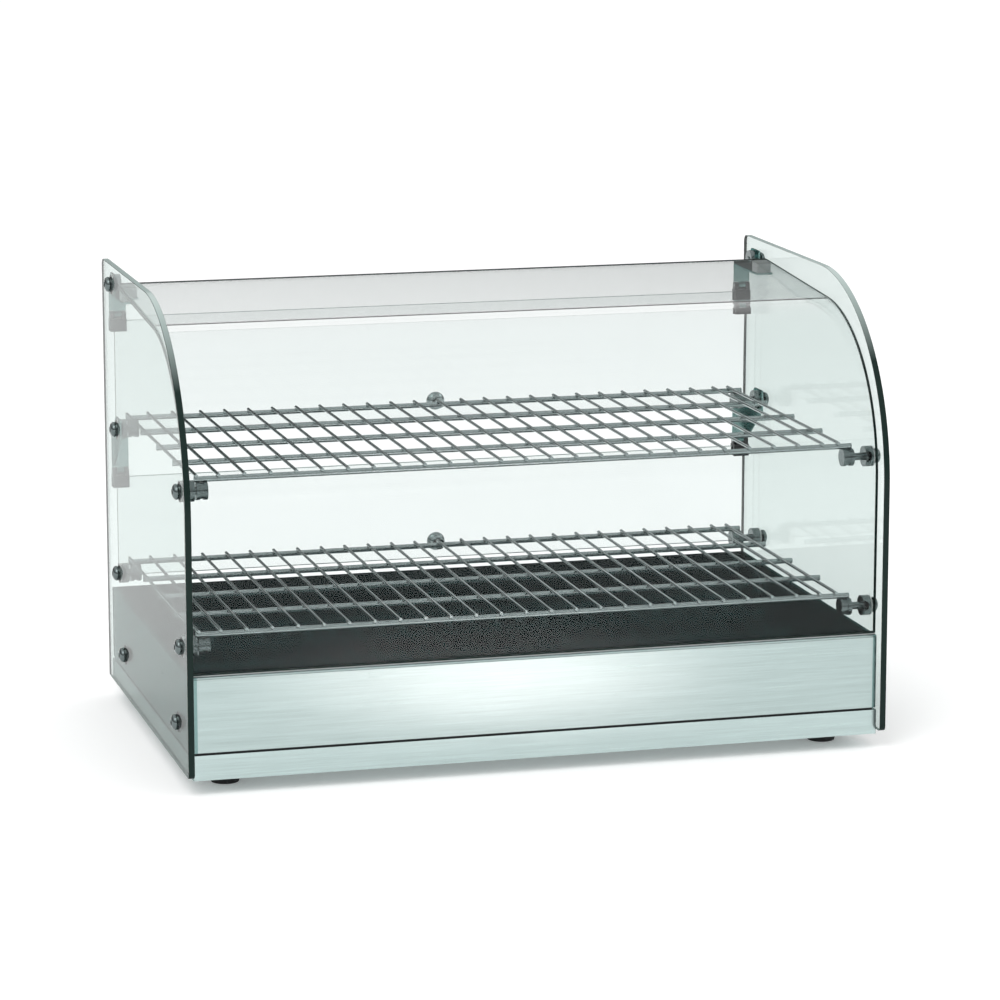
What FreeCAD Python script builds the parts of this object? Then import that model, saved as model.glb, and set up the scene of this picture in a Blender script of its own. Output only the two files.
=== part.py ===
import FreeCAD, Part
import os
import re
import Sketcher

# Hot food display case: a heated stainless base, two flat glass sides, one curved glass front and
# two wire shelves that sit on screwed cups, with a hinged glass flap behind each shelf.
# Frame: origin on the counter under the middle of the case, +X to the customer's right-hand end
# as seen from the front, +Y towards the operator's side, +Z up. All sizes are in millimetres.

SIZES = {
    # base
    "base_width": 560, "base_depth": 340, "base_height": 82, "foot_height": 12,
    "steel": 1.2, "side_hem": 3, "tray_height": 20, "tray_overhang": 0.7, "flange": 14,
    "seam": 2, "seam_inset": 2, "gasket_width": 10, "bend": 2, "panel_recess": 22, "rear_lip": 9,
    # glass
    "glass": 5, "glass_gap": 1, "side_front": 8, "side_rear": 8, "side_lift": 3.5, "side_top": 362.5,
    "corner_run": 146, "corner_lean": 20.8, "corner_bend": 161, "blend_bend": 140,
    "rear_corner": 6, "front_corner": 4,
    "front_setback": 3.2, "front_bend": 131.5, "front_slope": 3.8, "front_reach": 55,
    "front_crest": 331.3, "front_play": 0.5, "strip": 0.8,
    # screws through the glass
    "head_radius": 7, "head_rise": 4, "shank_radius": 3, "screw_hole": 4, "thread_play": 0.05,
    "seal": 1, "seal_radius": 8.25, "nut_radius": 8.25, "nut_length": 5,
    "base_screw_front": 42, "base_screw_rear": 65, "base_screw_rise": 37.5,
    "base_nut_radius": 5.5, "base_nut_length": 5,
    # shelves and the cups they rest on
    "cup_radius": 7.25, "cup_length": 9, "cup_bore": 7, "cup_seat": 0.9, "cup_rim": 0.8,
    "left_stem": 1.5, "right_stem": 9.5,
    "shelf_front": 22, "shelf_rear": 41, "lower_screw": 102.4, "upper_screw": 225,
    "rod_radius": 2.25, "rest_gap": 0.3, "wire_radius": 1.3, "wire_sink": 0.5,
    "shelf_left": 8, "shelf_right": 18, "end_wire": 1.5, "first_wire": 19, "wire_pitch": 20.5,
    "last_wire": 11.5, "wire_end": 3, "rod_count": 5,
    # rear flaps and their hinges
    "top_screw": 27, "top_screw_rise": 345, "hinge_line": 9.75, "upper_hinge": 317,
    "lower_hinge": 184, "plate": 1.5, "strap_width": 14, "eye_radius": 3, "eye_width": 6,
    "pin_radius": 1.5, "pin_play": 0.05, "lug_gap": 0.3, "lug_width": 3.5,
    "shoe_drop": 14, "shoe_wall": 3, "shoe_heel": 3.7, "flap_glass": 4, "flap_bite": 5.5,
    "flap_end": 5, "upper_flap_foot": 218, "lower_flap_foot": 94, "flap_clear": 5,
    "arm_front": 72, "arm_level": 336, "pad_front": 70, "pad_rear": 56, "ear_front": 39,
    "grip_rise": 12, "grip_radius": 8, "grip_length": 11, "grip_neck": 4.5, "grip_bore": 2,
    "grip_hole": 2.5, "grip_screw_head": 4.5, "grip_screw_rise": 2,
    # feet
    "foot_top": 14, "foot_bottom": 11, "foot_inset": 32, "foot_front": 40, "foot_rear": 40,
    "foot_recess": 6, "recess_depth": 6, "foot_bore": 2.6, "foot_screw": 2.5,
    "foot_head": 4.8, "foot_head_rise": 3, "foot_nut": 4.6, "foot_nut_length": 4,
    # heater
    "deck_gap": 8.8, "tube_radius": 4, "leg_end": 90, "leg_count": 4, "first_leg": 66, "last_leg": 106,
    "tail": 24, "strap_bar": 12, "strap_count": 3, "strap_pitch": 140,
    "trough_end": 52, "trough_front": 26, "trough_rear": 64, "trough_depth": 48,
    "wool_depth": 22, "bulb_radius": 3, "bulb_length": 90, "cutout_radius": 9, "cutout_length": 9,
    # controls on the rear panel
    "control_rise": 50, "knob_place": 190, "knob_radius": 18, "knob_length": 13, "knob_skirt": 20,
    "knob_gap": 0.6, "shaft_radius": 3, "shaft_play": 0.06, "neck_radius": 5, "neck_play": 0.2,
    "neck_length": 6, "neck_nut": 7, "neck_nut_length": 2.5, "body_side": 40, "body_depth": 26,
    "switch_place": 120, "bezel_width": 22, "bezel_height": 31, "bezel_rise": 2,
    "can_width": 18, "can_height": 27, "can_depth": 22, "rocker_radius": 11.5, "rocker_width": 13,
    "rocker_play": 0.35, "rocker_tilt": 10, "ridge": 2, "rocker_back": 3.5, "rocker_pin": 1,
    "lamp_place": 80, "lamp_radius": 5, "lamp_rim": 6.5, "lamp_length": 18,
    "gland_place": 215, "gland_radius": 8, "gland_hex": 11.5, "gland_hex_length": 7,
    "gland_dome": 11, "cord_bore": 4, "gland_thread": 10, "gland_nut": 11.5,
    "slot_width": 3, "slot_height": 26, "slot_count": 14, "slot_pitch": 9,
    "cleat": 14, "cleat_height": 40, "panel_screw": 1.75, "panel_screw_rise": 14,
    "panel_head": 3.2, "panel_head_rise": 1.8,
}

doc = FreeCAD.newDocument("hot_food_display_case")
sheet = doc.addObject("Spreadsheet::Sheet", "sizes")
for row, (alias, value) in enumerate(SIZES.items(), start=1):
    sheet.set(f"A{row}", alias)
    sheet.set(f"B{row}", str(value))
    sheet.setAlias(f"B{row}", alias)
doc.recompute()

# Planes and levels that several parts share, written with the sheet's names
FRONT = "(-base_depth / 2)"
REAR = "(base_depth / 2)"
TRAY_TOP = "(foot_height + tray_height)"
COVER_FOOT = "(foot_height + tray_height + seam)"
DECK = "(foot_height + base_height)"
SIDE = "(base_width / 2)"
INNER = "(base_width / 2 - side_hem)"
GLASS_IN = "(base_width / 2 + glass_gap)"
GLASS_OUT = "(base_width / 2 + glass_gap + glass)"
PANEL = "(base_depth / 2 - panel_recess)"
CONTROLS = "(foot_height + control_rise)"
HINGE_Y = "(base_depth / 2 - hinge_line)"
OUTER_PLANE = f"({HINGE_Y} + plate / 2)"
SCREW_BORE = "(shank_radius + thread_play)"
LEG_END = "(base_width / 2 - leg_end)"
TROUGH_END = "(base_width / 2 - trough_end)"
TURN = "((base_depth - first_leg - last_leg) / (2 * (leg_count - 1)))"

nodes = []


def full(text):
    """Put the sheet's name before each of its aliases."""
    return re.sub(r"[a-z]\w*", lambda found: f"sizes.{found[0]}" if found[0] in SIZES else found[0], text)


def number(text):
    """The present value of an expression."""
    return float(sheet.evalExpression(full(text)))


def deep(text):
    """A distance behind the base's front face, as a place in Y."""
    return f"({text} - base_depth / 2)"


def ahead(text):
    """A distance in front of the base's rear face, as a place in Y."""
    return f"(base_depth / 2 - {text})"


def high(text):
    """A height above the underside of the base, as a place in Z."""
    return f"({text} + foot_height)"


def bind(thing, **links):
    for name, text in links.items():
        thing.setExpression(name.replace("_", "."), full(text))
    return thing


def node(thing, label):
    """Name a finished sub-part."""
    thing.Label = label
    nodes.append(thing)
    return thing


def box(low, high_corner, name="block"):
    """A box between two corners, each given as three expressions."""
    block = doc.addObject("Part::Box", name)
    bind(block, Placement_Base_x=low[0], Placement_Base_y=low[1], Placement_Base_z=low[2])
    for side, start, end in zip(("Length", "Width", "Height"), low, high_corner):
        bind(block, **{side: f"({end}) - ({start})"})
    return block


TURNS = {
    "+X": FreeCAD.Rotation(FreeCAD.Vector(0, 1, 0), 90),
    "-X": FreeCAD.Rotation(FreeCAD.Vector(0, 1, 0), -90),
    "+Y": FreeCAD.Rotation(FreeCAD.Vector(1, 0, 0), -90),
    "-Y": FreeCAD.Rotation(FreeCAD.Vector(1, 0, 0), 90),
    "+Z": FreeCAD.Rotation(),
    "-Z": FreeCAD.Rotation(FreeCAD.Vector(1, 0, 0), 180),
}


def rod(start, way, radius, length, name="rod"):
    """A cylinder from a start point along one of the axes."""
    cylinder = doc.addObject("Part::Cylinder", name)
    cylinder.Placement = FreeCAD.Placement(FreeCAD.Vector(), TURNS[way])
    bind(cylinder, Placement_Base_x=start[0], Placement_Base_y=start[1], Placement_Base_z=start[2])
    return bind(cylinder, Radius=radius, Height=length)


def hexagon(start, way, radius, length):
    """A six-sided nut blank from a start point along one of the axes."""
    prism = doc.addObject("Part::Prism", "hexagon")
    prism.Polygon = 6
    prism.Placement = FreeCAD.Placement(FreeCAD.Vector(), TURNS[way])
    bind(prism, Placement_Base_x=start[0], Placement_Base_y=start[1], Placement_Base_z=start[2])
    return bind(prism, Circumradius=radius, Height=length)


def join(parts, name="joined"):
    fuse = doc.addObject("Part::MultiFuse", name)
    fuse.Shapes = parts
    return fuse


def cut(base, tools, name="cut"):
    result = doc.addObject("Part::Cut", name)
    result.Base = base
    result.Tool = tools[0] if len(tools) == 1 else join(tools, "tools")
    return result


def group(label, parts):
    """Several separate solids that share one node."""
    compound = doc.addObject("Part::Compound", "group")
    compound.Links = parts
    return node(compound, label)


def placed(master, at, turn=None):
    """A linked copy of a master, moved to a place given as three expressions."""
    copy = doc.addObject("App::Link", "copy")
    copy.LinkedObject = master
    copy.Placement = FreeCAD.Placement(FreeCAD.Vector(), turn or FreeCAD.Rotation())
    return bind(copy, Placement_Base_x=at[0], Placement_Base_y=at[1], Placement_Base_z=at[2])


def new_body(name):
    body = doc.addObject("PartDesign::Body", name)
    doc.recompute()
    return body


def sketch(body, plane, offset="0"):
    """An empty sketch on one of the body's own planes, moved along its normal."""
    drawing = body.newObject("Sketcher::SketchObject", "sketch")
    feature = next(item for item in body.Origin.OriginFeatures if item.Role == plane)
    drawing.AttachmentSupport = [(feature, "")]
    drawing.MapMode = "FlatFace"
    return bind(drawing, AttachmentOffset_Base_z=offset)


def fix_point(drawing, item, end, across, up):
    """Tie a point of the sketch to two expressions, measured from the origin."""
    for kind, text in (("DistanceX", across), ("DistanceY", up)):
        rule = drawing.addConstraint(Sketcher.Constraint(kind, -1, 1, item, end, number(text)))
        drawing.setExpression(f"Constraints[{rule}]", full(text))


def outline(drawing, points):
    """A closed outline of straight lines through points given as pairs of expressions."""
    start = drawing.GeometryCount
    places = [FreeCAD.Vector(number(across), number(up), 0) for across, up in points]
    for this, following in zip(places, places[1:] + places[:1]):
        drawing.addGeometry(Part.LineSegment(this, following))
    for index in range(len(points)):
        following = (index + 1) % len(points)
        drawing.addConstraint(Sketcher.Constraint("Coincident", start + index, 2, start + following, 1))
    for index, (across, up) in enumerate(points):
        fix_point(drawing, start + index, 1, across, up)
    return drawing


def rectangle(drawing, left, right, foot, top):
    return outline(drawing, [(left, foot), (right, foot), (right, top), (left, top)])


def circle(drawing, across, up, radius):
    centre = FreeCAD.Vector(number(across), number(up), 0)
    item = drawing.addGeometry(Part.Circle(centre, FreeCAD.Vector(0, 0, 1), number(radius)))
    fix_point(drawing, item, 3, across, up)
    rule = drawing.addConstraint(Sketcher.Constraint("Radius", item, number(radius)))
    drawing.setExpression(f"Constraints[{rule}]", full(radius))
    return drawing


def pad(body, drawing, length, midplane=False):
    feature = body.newObject("PartDesign::Pad", "pad")
    feature.Profile = drawing
    feature.Midplane = midplane
    bind(feature, Length=length)
    doc.recompute()
    return feature


def pocket(body, drawing, length):
    """Cut an equal depth to both sides of the sketch, and check that something was cut."""
    before = body.Shape.Volume
    feature = body.newObject("PartDesign::Pocket", "pocket")
    feature.Profile = drawing
    feature.Midplane = True
    bind(feature, Length=length)
    doc.recompute()
    if not body.Shape.Volume < before:
        raise RuntimeError(f"{body.Label}: a pocket cuts nothing")
    return feature


def soften(body, base, radius, wanted):
    """Fillet those edges of a feature that run along X and whose place in Y and Z passes a test."""
    edges = []
    for index, edge in enumerate(base.Shape.Edges, start=1):
        ends = [vertex.Point for vertex in edge.Vertexes]
        along_x = len(ends) == 2 and near(ends[0].y, ends[1].y) and near(ends[0].z, ends[1].z)
        if along_x and wanted(ends[0].y, ends[0].z):
            edges.append(f"Edge{index}")
    if not edges:
        raise RuntimeError(f"{body.Label}: no edge to round")
    fillet = body.newObject("PartDesign::Fillet", "fillet")
    fillet.Base = (base, edges)
    bind(fillet, Radius=radius)
    doc.recompute()
    return fillet


def at_place(place):
    """A test for one place in Y and Z, given as a pair of expressions."""
    back, level = (number(text) for text in place)
    return lambda y, z: near(y, back) and near(z, level)


def near(first, second, slack=0.01):
    return abs(first - second) < slack


def turned(label_or_name, plane, profile, axis="H_Axis"):
    """A solid of revolution about one axis of its sketch."""
    body = new_body(label_or_name)
    drawing = outline(sketch(body, plane), profile)
    feature = body.newObject("PartDesign::Revolution", "revolution")
    feature.Profile = drawing
    feature.ReferenceAxis = (drawing, [axis])
    feature.Angle = 360
    doc.recompute()
    return body


def dome_screw(name, reach):
    """A round-headed screw along +X: its head's underside at X = 0, its shank reaching to -reach."""
    body = new_body(name)
    drawing = sketch(body, "XY_Plane")
    crown = "(0.35 * head_rise)"
    outline(drawing, [("0", "0"), ("0", "head_radius"), (crown, "head_radius"),
                      ("head_rise", "0.5 * head_radius"), ("head_rise", "0")])
    feature = body.newObject("PartDesign::Revolution", "head")
    feature.Profile = drawing
    feature.ReferenceAxis = (drawing, ["H_Axis"])
    feature.Angle = 360
    doc.recompute()
    shank = circle(sketch(body, "YZ_Plane"), "0", "0", "shank_radius")
    rod_feature = pad(body, shank, reach)
    rod_feature.Reversed = True
    doc.recompute()
    socket = sketch(body, "YZ_Plane", "head_rise")
    circle(socket, "0", "0", "0.36 * head_radius")
    pocket(body, socket, "head_rise")
    return body


# ---------------------------------------------------------------- the steel base

def tray():
    """Shallow folded tray under the base, with a flange turned in all round its top."""
    half = f"({SIDE} + tray_overhang)"
    shell = box(("-" + half, FRONT, "foot_height"), (half, REAR, TRAY_TOP), "tray_block")
    hollow = box((f"-{half} + steel", f"{FRONT} + steel", "foot_height + steel"),
                 (f"{half} - steel", f"{REAR} - steel", f"{TRAY_TOP} - steel"), "tray_hollow")
    mouth = box((f"-{half} + flange", f"{FRONT} + flange", "foot_height + 2 * steel"),
                (f"{half} - flange", f"{REAR} - flange", f"{TRAY_TOP} + steel"), "tray_mouth")
    holes = [rod((across, back, "foot_height - steel"), "+Z", "foot_bore", "3 * steel", "foot_hole")
             for across, back in foot_places()]
    node(cut(shell, [hollow, mouth] + holes), "base_tray")


def foot_places():
    across = f"({SIDE} - foot_inset)"
    return [(sign + across, back) for sign in ("", "-") for back in (deep("foot_front"), ahead("foot_rear"))]


def gasket():
    """Dark rubber frame in the seam between the tray and the cover."""
    outer = box((f"-{SIDE} + seam_inset", f"{FRONT} + seam_inset", TRAY_TOP),
                (f"{SIDE} - seam_inset", f"{REAR} - seam_inset", COVER_FOOT), "gasket_block")
    reach = "(seam_inset + gasket_width)"
    hole = box((f"-{SIDE} + {reach}", f"{FRONT} + {reach}", f"{TRAY_TOP} - seam"),
               (f"{SIDE} - {reach}", f"{REAR} - {reach}", f"{COVER_FOOT} + seam"), "gasket_hole")
    node(cut(outer, [hole]), "base_gasket")


def cover():
    """Deck and front panel folded from one sheet, with a bottom flange and a short rear lip."""
    body = new_body("cover")
    drawing = sketch(body, "YZ_Plane")
    lip_foot = f"{DECK} - rear_lip"
    outline(drawing, [
        (FRONT, COVER_FOOT), (f"{FRONT} + flange", COVER_FOOT),
        (f"{FRONT} + flange", f"{COVER_FOOT} + steel"), (f"{FRONT} + steel", f"{COVER_FOOT} + steel"),
        (f"{FRONT} + steel", f"{DECK} - steel"), (f"{REAR} - steel", f"{DECK} - steel"),
        (f"{REAR} - steel", lip_foot), (REAR, lip_foot), (REAR, DECK), (FRONT, DECK)])
    sheet_metal = pad(body, drawing, f"2 * {INNER}", midplane=True)
    top = number(DECK)
    soften(body, sheet_metal, "bend", lambda y, z: near(z, top))
    node(body, "base_cover")


def side_panel(label, sign):
    """End plate of the base, hemmed to a 3 mm edge, with two screw holes."""
    body = new_body(label)
    drawing = sketch(body, "YZ_Plane", f"{sign} * ({SIDE} - side_hem / 2)")
    rectangle(drawing, FRONT, REAR, COVER_FOOT, DECK)
    plate = pad(body, drawing, "side_hem", midplane=True)
    top = number(DECK)
    soften(body, plate, "bend", lambda y, z: near(z, top))
    holes = sketch(body, "YZ_Plane", f"{sign} * ({SIDE} - side_hem / 2)")
    for back in (deep("base_screw_front"), ahead("base_screw_rear")):
        circle(holes, back, high("base_screw_rise"), SCREW_BORE)
    pocket(body, holes, "2 * side_hem")
    node(body, label)


def rear_panel():
    """Control panel set back under the deck, flanged top and bottom, with its cut-outs and vents."""
    body = new_body("rear_panel")
    drawing = sketch(body, "YZ_Plane")
    outline(drawing, [
        (f"{PANEL} - flange", COVER_FOOT), (PANEL, COVER_FOOT), (PANEL, f"{DECK} - steel"),
        (f"{PANEL} - flange", f"{DECK} - steel"), (f"{PANEL} - flange", f"{DECK} - 2 * steel"),
        (f"{PANEL} - steel", f"{DECK} - 2 * steel"), (f"{PANEL} - steel", f"{COVER_FOOT} + steel"),
        (f"{PANEL} - flange", f"{COVER_FOOT} + steel")])
    pad(body, drawing, f"2 * {INNER}", midplane=True)
    holes = sketch(body, "XZ_Plane", f"-{PANEL} + steel / 2")
    circle(holes, "-knob_place", CONTROLS, "neck_radius + neck_play")
    rectangle(holes, "-switch_place - can_width / 2", "-switch_place + can_width / 2",
              f"{CONTROLS} - can_height / 2", f"{CONTROLS} + can_height / 2")
    circle(holes, "-lamp_place", CONTROLS, "lamp_radius")
    circle(holes, "gland_place", CONTROLS, "gland_radius")
    for index in range(int(number("slot_count"))):
        middle = f"(({index} - (slot_count - 1) / 2) * slot_pitch + slot_pitch * 5)"
        rectangle(holes, f"{middle} - slot_width / 2", f"{middle} + slot_width / 2",
                  f"{CONTROLS} - slot_height / 2", f"{CONTROLS} + slot_height / 2")
    for across, level in panel_screw_places():
        circle(holes, across, level, "panel_screw + thread_play")
    pocket(body, holes, "3 * steel")
    node(body, "rear_panel")


def panel_screw_places():
    return [(f"{sign}({INNER} - cleat / 2)", f"{CONTROLS} {way} panel_screw_rise")
            for sign in ("-", "") for way in ("-", "+")]


def panel_fixings():
    """Angle cleats in the corners behind the control panel, and the pan-headed screws into them."""
    inside = f"({PANEL} - steel)"
    foot, top = f"{CONTROLS} - cleat_height / 2", f"{CONTROLS} + cleat_height / 2"
    cleats, screws = [], []
    for sign in ("-", ""):
        outer, inner, web = (f"{sign}({INNER} - {text})" for text in ("0", "cleat", "steel"))
        left, right = sorted((outer, inner), key=number)
        web_left, web_right = sorted((outer, web), key=number)
        across_leg = box((left, f"{inside} - steel", foot), (right, inside, top), "across_leg")
        side_leg = box((web_left, f"{inside} - cleat", foot), (web_right, inside, top), "side_leg")
        cleats.append(join([across_leg, side_leg], "cleat"))
    drills = []
    for across, level in panel_screw_places():
        start = (across, f"{PANEL} - 2 * steel - 5", level)
        drills.append(rod(start, "+Y", "panel_screw + thread_play", "2 * steel + 5", "drill"))
        shank = rod(start, "+Y", "panel_screw", "2 * steel + 5", "shank")
        head = rod((across, PANEL, level), "+Y", "panel_head", "panel_head_rise", "head")
        screws.append(join([shank, head], "panel_screw"))
    group("panel_cleats", [cut(cleat, drills) for cleat in cleats])
    group("panel_screws", screws)


def feet():
    """Four turned rubber feet, each held by a screw from below and a nut on the tray's floor."""
    profile = [("foot_recess", "0"), ("foot_bottom", "0"), ("foot_top", "foot_height"),
               ("foot_bore", "foot_height"), ("foot_bore", "recess_depth"), ("foot_recess", "recess_depth")]
    rubber = turned("foot", "XZ_Plane", profile, "V_Axis")
    group("rubber_feet", [placed(rubber, (across, back, "0")) for across, back in foot_places()])
    screws, nuts = [], []
    for across, back in foot_places():
        head = rod((across, back, "recess_depth - foot_head_rise"), "+Z", "foot_head", "foot_head_rise")
        shank = rod((across, back, "recess_depth - steel"), "+Z", "foot_screw",
                    "foot_height - recess_depth + 3 * steel + foot_nut_length")
        screws.append(join([head, shank], "foot_screw"))
        floor = "foot_height + steel"
        blank = hexagon((across, back, floor), "+Z", "foot_nut", "foot_nut_length")
        bore = rod((across, back, "foot_height"), "+Z", "foot_screw + thread_play", "3 * foot_nut_length")
        nuts.append(cut(blank, [bore], "foot_nut"))
    group("foot_screws", screws)
    group("foot_nuts", nuts)


# ---------------------------------------------------------------- glass

def screw_places():
    """Places in Y and Z of the screws above the base, and how thick a bracket each one clamps."""
    places = [(back, high(level)) for level in ("lower_screw", "upper_screw")
              for back in (deep("shelf_front"), ahead("shelf_rear"))]
    places.append((ahead("top_screw"), high("top_screw_rise")))
    clamped = ["0", "0", "0", "plate", "plate"]
    return list(zip(places, clamped))


def side_glass(label, sign):
    """Flat glass side with a swept front corner, drilled for its screws."""
    body = new_body(label)
    middle = f"{sign} * ({GLASS_IN} + glass / 2)"
    front = f"({FRONT} - side_front)"
    rear = f"({REAR} + side_rear)"
    foot = high("side_lift")
    top = high("side_top")
    drawing = outline(sketch(body, "YZ_Plane", middle), [
        (front, foot), (rear, foot), (rear, top), (f"{front} + corner_run", top),
        (f"{front} + corner_lean", f"{top} - corner_lean"), (front, f"{top} - corner_run")])
    plate = pad(body, drawing, "glass", midplane=True)
    feature = plate
    for radius, place in (
            ("corner_bend", (f"{front} + corner_lean", f"{top} - corner_lean")),
            ("blend_bend", (front, f"{top} - corner_run")),
            ("blend_bend", (f"{front} + corner_run", top)),
            ("rear_corner", (rear, top)), ("front_corner", (front, foot))):
        feature = soften(body, feature, radius, at_place(place))
    holes = sketch(body, "YZ_Plane", middle)
    for (back, level), _ in screw_places():
        circle(holes, back, level, "screw_hole")
    for back in (deep("base_screw_front"), ahead("base_screw_rear")):
        circle(holes, back, high("base_screw_rise"), "screw_hole")
    pocket(body, holes, "2 * glass")
    node(body, label)


def front_glass():
    """One sheet bent from an upright front to a gently rising top, standing on the deck's front edge."""
    body = new_body("front_glass")
    outer = f"({FRONT} + front_setback)"
    crest = high("front_crest")
    foot = f"({DECK} + strip)"
    rise = "tan(front_slope)"
    end = ahead("front_reach")
    end_level = f"({crest} + ({end} - {outer}) * {rise})"
    inside = (f"{outer} + glass", f"{crest} + glass * {rise} - glass / cos(front_slope)")
    drawing = outline(sketch(body, "YZ_Plane"), [
        (outer, foot), (outer, crest), (end, end_level),
        (f"{end} + glass * sin(front_slope)", f"{end_level} - glass * cos(front_slope)"),
        inside, (f"{outer} + glass", foot)])
    slab = pad(body, drawing, f"2 * ({GLASS_IN} - front_play)", midplane=True)
    bent = soften(body, slab, "front_bend", at_place((outer, crest)))
    soften(body, bent, "front_bend - glass", at_place(inside))
    node(body, "front_glass")
    strip = box((f"-{SIDE}", outer, DECK), (SIDE, f"{outer} + glass", foot), "strip")
    node(strip, "front_glass_strip")


def glass_fixings():
    """Round-headed screws through the side glass, with their seals and nuts."""
    base_reach = "glass + glass_gap + side_hem + base_nut_length + 3"
    base_screw = dome_screw("base_screw", base_reach)
    turn_left = FreeCAD.Rotation(FreeCAD.Vector(0, 0, 1), 180)
    sides = (("", None, "+X", "-X"), ("-", turn_left, "-X", "+X"))
    level = high("base_screw_rise")
    screws, spacers, nuts = [], [], []
    for sign, turn, outward, inward in sides:
        for back in (deep("base_screw_front"), ahead("base_screw_rear")):
            screws.append(placed(base_screw, (sign + GLASS_OUT, back, level), turn))
            disc = rod((sign + SIDE, back, level), outward, "seal_radius", "glass_gap")
            hole = rod((sign + SIDE, back, level), outward, SCREW_BORE, "glass_gap")
            spacers.append(cut(disc, [hole]))
            blank = hexagon((sign + INNER, back, level), inward, "base_nut_radius", "base_nut_length")
            bore = rod((sign + INNER, back, level), inward, SCREW_BORE, "base_nut_length")
            nuts.append(cut(blank, [bore]))
    group("base_screws", screws)
    group("base_spacers", spacers)
    group("base_screw_nuts", nuts)

    stems = {"": "right_stem", "-": "left_stem"}
    seals, round_nuts, cups, short_screws = [], [], [], []
    for sign, turn, outward, inward in sides:
        stem = stems[sign]
        reach = f"glass + seal + plate + nut_length + {stem} + cup_bore"
        shelf_screw = dome_screw("shelf_screw", reach)
        end_screw = dome_screw("hinge_screw", "glass + seal + plate + nut_length + 1")
        cup = support_cup()
        shelf_screws = []
        for index, ((back, level), clamp) in enumerate(screw_places()):
            is_shelf = index < 4
            screw, batch = (shelf_screw, shelf_screws) if is_shelf else (end_screw, short_screws)
            batch.append(placed(screw, (sign + GLASS_OUT, back, level), turn))
            disc = rod((sign + GLASS_IN, back, level), inward, "seal_radius", "seal")
            hole = rod((sign + GLASS_IN, back, level), inward, SCREW_BORE, "seal")
            seals.append(cut(disc, [hole]))
            face = f"{sign}({GLASS_IN} - seal - {clamp})"
            length = f"nut_length + plate - {clamp}"
            blank = rod((face, back, level), inward, "nut_radius", length)
            bore = rod((face, back, level), inward, SCREW_BORE, length)
            round_nuts.append(cut(blank, [bore]))
            if is_shelf:
                start = f"{sign}({GLASS_IN} - seal - plate - nut_length - {stem})"
                cups.append(placed(cup, (start, back, level), turn))
        group("shelf_screws_right" if sign == "" else "shelf_screws_left", shelf_screws)
    group("hinge_screws", short_screws)
    group("glass_seals", seals)
    group("round_nuts", round_nuts)
    group("support_cups", cups)


def support_cup():
    """Turned cup on the end of a shelf screw: a grooved drum with a hollow on top for the shelf's rod."""
    neck = "(cup_radius - cup_rim)"
    third = "(cup_length / 3)"
    drum = turned("cup", "XY_Plane", [
        ("0", SCREW_BORE), ("0", "cup_radius"), (f"-{third}", "cup_radius"),
        (f"-{third}", neck), (f"-2 * {third}", neck), (f"-2 * {third}", "cup_radius"),
        ("-cup_length", "cup_radius"), ("-cup_length", "0"), ("-cup_bore", "0"),
        ("-cup_bore", SCREW_BORE)])
    seat = rod(("cup_length", "0", "cup_radius + rod_radius + rest_gap - cup_seat"), "-X",
               "rod_radius + rest_gap", "3 * cup_length", "seat")
    return cut(drum, [seat], "support_cup")


# ---------------------------------------------------------------- wire shelves

def shelf(label, level):
    """Chromed wire shelf: five long rods with thin cross wires welded on top of them."""
    height = f"({high(level)} + cup_radius + rod_radius + rest_gap - cup_seat)"
    front, rear = deep("shelf_front"), ahead("shelf_rear")
    left, right = f"(shelf_left - {GLASS_IN})", f"({GLASS_IN} - shelf_right)"
    rods = []
    for index in range(int(number("rod_count"))):
        back = f"({front} + {index} / (rod_count - 1) * ({rear} - {front}))"
        rods.append(rod((left, back, height), "+X", "rod_radius", f"{right} - {left}", "long_rod"))
    count = int(number(f"({right} - last_wire - {left} - first_wire) / wire_pitch")) + 1
    places = [f"{left} + first_wire + {index} * wire_pitch" for index in range(count)]
    places += [f"{left} + end_wire", f"{right} - last_wire"]
    wire_level = f"{height} + rod_radius + wire_radius - wire_sink"
    for place in places:
        rods.append(rod((place, f"{front} - wire_end", wire_level), "+Y", "wire_radius",
                        f"{rear} - {front} + 2 * wire_end", "cross_wire"))
    node(join(rods, label), label)


# ---------------------------------------------------------------- hinges and rear flaps

def strap_and_eye(sign, hinge, top):
    """The strap that hangs in the flap's plane, with a rolled eye at its foot."""
    outer = f"{sign}({GLASS_IN} - seal)"
    inner = f"{sign}({GLASS_IN} - seal - strap_width)"
    low, far = (inner, outer) if sign == "" else (outer, inner)
    strap = box((low, f"{HINGE_Y} - plate / 2", f"{hinge} + eye_radius + lug_gap"),
                (far, OUTER_PLANE, top), "strap")
    middle = f"({low} + {far}) / 2"
    eye = rod((f"{middle} - eye_width / 2", HINGE_Y, hinge), "+X", "eye_radius", "eye_width", "eye")
    web = box((f"{middle} - eye_width / 2", f"{HINGE_Y} - plate / 2", hinge),
              (f"{middle} + eye_width / 2", OUTER_PLANE, f"{hinge} + 2 * eye_radius"), "web")
    start = (f"{middle} - eye_width", HINGE_Y, hinge)
    bore = rod(start, "+X", "pin_radius + pin_play", "2 * eye_width", "bore")
    return [strap, eye, web], bore


def screw_hole(sign, back, level):
    """A bore for a glass screw through a bracket's ear."""
    inward = "-X" if sign == "" else "+X"
    return rod((f"{sign}{GLASS_IN}", back, level), inward, SCREW_BORE, "3 * plate + seal", "hole")


def gusset(name, sign, points):
    """A flat plate against the glass seals, as a closed outline in Y and Z."""
    body = new_body(name)
    drawing = sketch(body, "YZ_Plane", f"{sign}({GLASS_IN} - seal - plate / 2)")
    pad(body, outline(drawing, points), "plate", midplane=True)
    return body


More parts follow.
